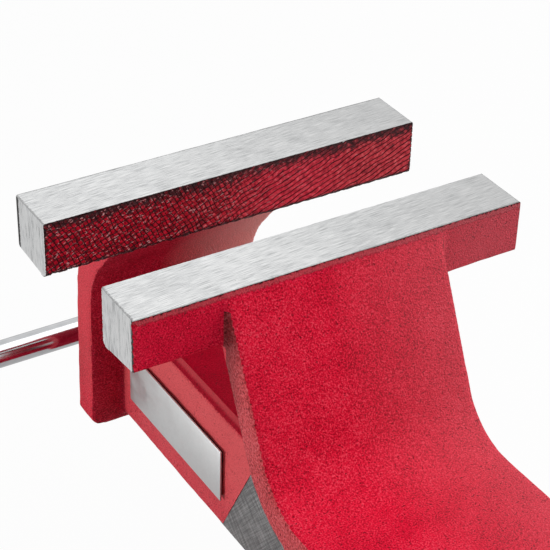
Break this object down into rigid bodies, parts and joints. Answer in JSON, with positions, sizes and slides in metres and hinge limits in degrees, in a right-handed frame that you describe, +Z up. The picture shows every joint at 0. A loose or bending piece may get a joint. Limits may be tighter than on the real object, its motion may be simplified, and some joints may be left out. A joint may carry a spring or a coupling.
{
  "type": "swivel bench vise",
  "caption": "Cast swivel bench vise: wide jaws with ground tops, channel slide with spindle and sliding handle bar, anvil, and a round base with bench lugs and two swivel lock bolts.",
  "frame": {"origin": "centre of the bench bolt circle on the underside of the base, which is on the swivel axis", "axes": "+Z up along the swivel axis, +Y along the slide from the handle to the anvil, +X to the right of someone at the handle"},
  "size_m": [0.168, 0.292, 0.176],
  "materials": {
    "cast_paint": "red paint over sand-cast iron, ground bare on the jaws",
    "black_iron": "bare, oiled",
    "zinc_steel": "bright zinc plated",
    "turned_steel": "turned, lightly oiled",
    "chrome_plate": "polished chrome",
    "plate_metal": "satin",
    "foam_tape": "matt"
  },
  "bodies": {
    "base": {"swivel_base": "cast_paint"},
    "body": {"fixed_body": "cast_paint", "lock_disc": "black_iron", "spindle_nut": "black_iron", "nut_bolt": "zinc_steel", "nut_washer": "zinc_steel", "lock_washers": "zinc_steel"},
    "jaw": {"moving_jaw": "cast_paint", "name_plate": "plate_metal", "plate_tape": "foam_tape", "thrust_washer": "zinc_steel"},
    "spindle": {"spindle": "turned_steel", "retaining_collar": "black_iron", "collar_pin": "zinc_steel"},
    "handle": {"tommy_bar": "chrome_plate", "tommy_knob_left": "chrome_plate", "tommy_knob_right": "chrome_plate"},
    "lock_left": {"lock_bolt_left": "zinc_steel"},
    "lock_right": {"lock_bolt_right": "zinc_steel"},
    "lock_handle_left": {"lock_bar_left": "chrome_plate", "lock_knobs_left": "chrome_plate"},
    "lock_handle_right": {"lock_bar_right": "chrome_plate", "lock_knobs_right": "chrome_plate"}
  },
  "joints": [
    {"name": "swivel", "type": "hinge", "parent": "base", "child": "body", "pos_m": [0, 0, 0.034], "axis": [0, 0, 1], "continuous": true},
    {"name": "jaw_slide", "type": "slide", "parent": "body", "child": "jaw", "axis": [0, -1, 0], "range_m": [-0.036, 0.088]},
    {"name": "spindle_turn", "type": "hinge", "parent": "jaw", "child": "spindle", "pos_m": [0, -0.17, 0.086], "axis": [0, -1, 0], "range_deg": [-3240, 7920]},
    {"name": "tommy_slide", "type": "slide", "parent": "spindle", "child": "handle", "axis": [1, 0, 0], "range_m": [-0.058, 0.058]},
    {"name": "lock_turn_left", "type": "hinge", "parent": "body", "child": "lock_left", "pos_m": [-0.056, 0, 0.046], "axis": [0, 0, 1], "range_deg": [-30, 30]},
    {"name": "lock_turn_right", "type": "hinge", "parent": "body", "child": "lock_right", "pos_m": [0.056, 0, 0.046], "axis": [0, 0, 1], "range_deg": [-30, 30]},
    {"name": "lock_bar_slide_left", "type": "slide", "parent": "lock_left", "child": "lock_handle_left", "axis": [0, 1, 0], "range_m": [-0.013, 0.013]},
    {"name": "lock_bar_slide_right", "type": "slide", "parent": "lock_right", "child": "lock_handle_right", "axis": [0, 1, 0], "range_m": [-0.013, 0.013]}
  ],
  "couplings": [
    {"joint": "spindle_turn", "follows": "jaw_slide", "rad_per_m": 1570.8}
  ]
}
